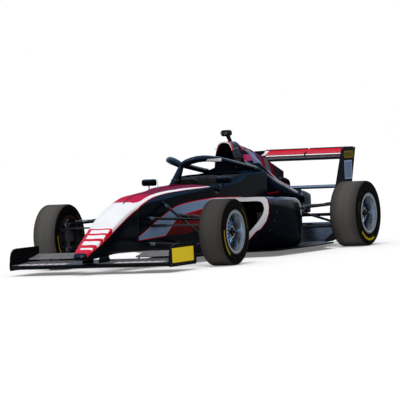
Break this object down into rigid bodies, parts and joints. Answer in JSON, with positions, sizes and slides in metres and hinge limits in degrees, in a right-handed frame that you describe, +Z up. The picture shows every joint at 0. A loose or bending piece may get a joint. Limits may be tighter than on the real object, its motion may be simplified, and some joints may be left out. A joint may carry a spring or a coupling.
{
  "type": "open wheel racing car",
  "caption": "Single-seat open wheel racing car with a halo over its cockpit, side pods, front and rear wings, and wheels that spin and steer.",
  "frame": {"origin": "middle of the car's length and width, on the ground under its tyres", "axes": "+X forward towards the nose, +Y to the car's left, +Z up"},
  "size_m": [4.5596, 1.7326, 1.084],
  "materials": {
    "black_gloss": "glossy dark paint over composite",
    "halo_black": "black paint",
    "nose_red": "glossy red and white paint over composite",
    "carbon": "bare dark composite",
    "flap_grey": "grey paint",
    "plate_black": "black paint",
    "wing_red": "glossy red paint",
    "plank_wood": "plain board",
    "core_metal": "finned core",
    "rest_foam": "covered foam",
    "seat_shell": "bare composite",
    "control_black": "black grip",
    "engine_metal": "cast",
    "case_metal": "cast",
    "pipe_steel": "heat stained",
    "lamp_red": "clear red lens",
    "arm_black": "black paint",
    "upright_metal": "machined",
    "rack_steel": "ground",
    "rim_alloy": "polished",
    "tyre_rubber": "slick",
    "disc_iron": "ground"
  },
  "bodies": {
    "chassis": {"monocoque": "black_gloss", "engine_cover": "black_gloss", "airbox": "black_gloss", "sidepod_left": "black_gloss", "sidepod_right": "black_gloss", "mirrors": "black_gloss", "camera_pod": "black_gloss", "halo": "halo_black", "nose_cone": "nose_red", "front_wing": "carbon", "floor_pan": "carbon", "diffuser": "carbon", "crash_box": "carbon", "beam_wing": "carbon", "front_flaps": "flap_grey", "front_endplates": "plate_black", "rear_endplates": "plate_black", "rear_wing": "wing_red", "rear_flap": "wing_red", "skid_plank": "plank_wood", "radiators": "core_metal", "headrest": "rest_foam", "seat": "seat_shell", "steering_column": "control_black", "engine": "engine_metal", "gearbox": "case_metal", "exhaust": "pipe_steel", "rain_light": "lamp_red", "front_wishbones": "arm_black", "rear_wishbones": "arm_black", "rear_uprights": "upright_metal"},
    "rack": {"steering_rack": "rack_steel"},
    "steering_wheel": {"steering_wheel": "control_black"},
    "upright_fl": {"upright_fl": "upright_metal"},
    "upright_fr": {"upright_fr": "upright_metal"},
    "wheel_fl": {"rim_fl": "rim_alloy", "tyre_fl": "tyre_rubber", "hub_fl": "disc_iron"},
    "wheel_fr": {"rim_fr": "rim_alloy", "tyre_fr": "tyre_rubber", "hub_fr": "disc_iron"},
    "wheel_rl": {"rim_rl": "rim_alloy", "tyre_rl": "tyre_rubber", "hub_rl": "disc_iron"},
    "wheel_rr": {"rim_rr": "rim_alloy", "tyre_rr": "tyre_rubber", "hub_rr": "disc_iron"}
  },
  "joints": [
    {"name": "steer_left", "type": "hinge", "parent": "chassis", "child": "upright_fl", "pos_m": [1.19, 0.697, 0.27], "axis": [0, 0, 1], "range_deg": [-18, 18]},
    {"name": "steer_right", "type": "hinge", "parent": "chassis", "child": "upright_fr", "pos_m": [1.19, -0.697, 0.27], "axis": [0, 0, 1], "range_deg": [-18.2, 18.2]},
    {"name": "rack_slide", "type": "slide", "parent": "chassis", "child": "rack", "axis": [0, 1, 0], "range_m": [-0.0335, 0.0335]},
    {"name": "steering_wheel_turn", "type": "hinge", "parent": "chassis", "child": "steering_wheel", "pos_m": [0.3093, 0, 0.61041], "axis": [-0.9613, 0, 0.2756], "range_deg": [-181, 181]},
    {"name": "spin_fl", "type": "hinge", "parent": "upright_fl", "child": "wheel_fl", "pos_m": [1.19, 0.759, 0.27], "axis": [0, 1, 0], "continuous": true},
    {"name": "spin_fr", "type": "hinge", "parent": "upright_fr", "child": "wheel_fr", "pos_m": [1.19, -0.759, 0.27], "axis": [0, 1, 0], "continuous": true},
    {"name": "spin_rl", "type": "hinge", "parent": "chassis", "child": "wheel_rl", "pos_m": [-1.56, 0.733, 0.2875], "axis": [0, 1, 0], "continuous": true},
    {"name": "spin_rr", "type": "hinge", "parent": "chassis", "child": "wheel_rr", "pos_m": [-1.56, -0.733, 0.2875], "axis": [0, 1, 0], "continuous": true}
  ],
  "couplings": [
    {"joint": "steer_right", "follows": "steer_left", "ratio": 1},
    {"joint": "rack_slide", "follows": "steer_left", "m_per_rad": 0.105},
    {"joint": "steering_wheel_turn", "follows": "steer_left", "ratio": 10}
  ]
}
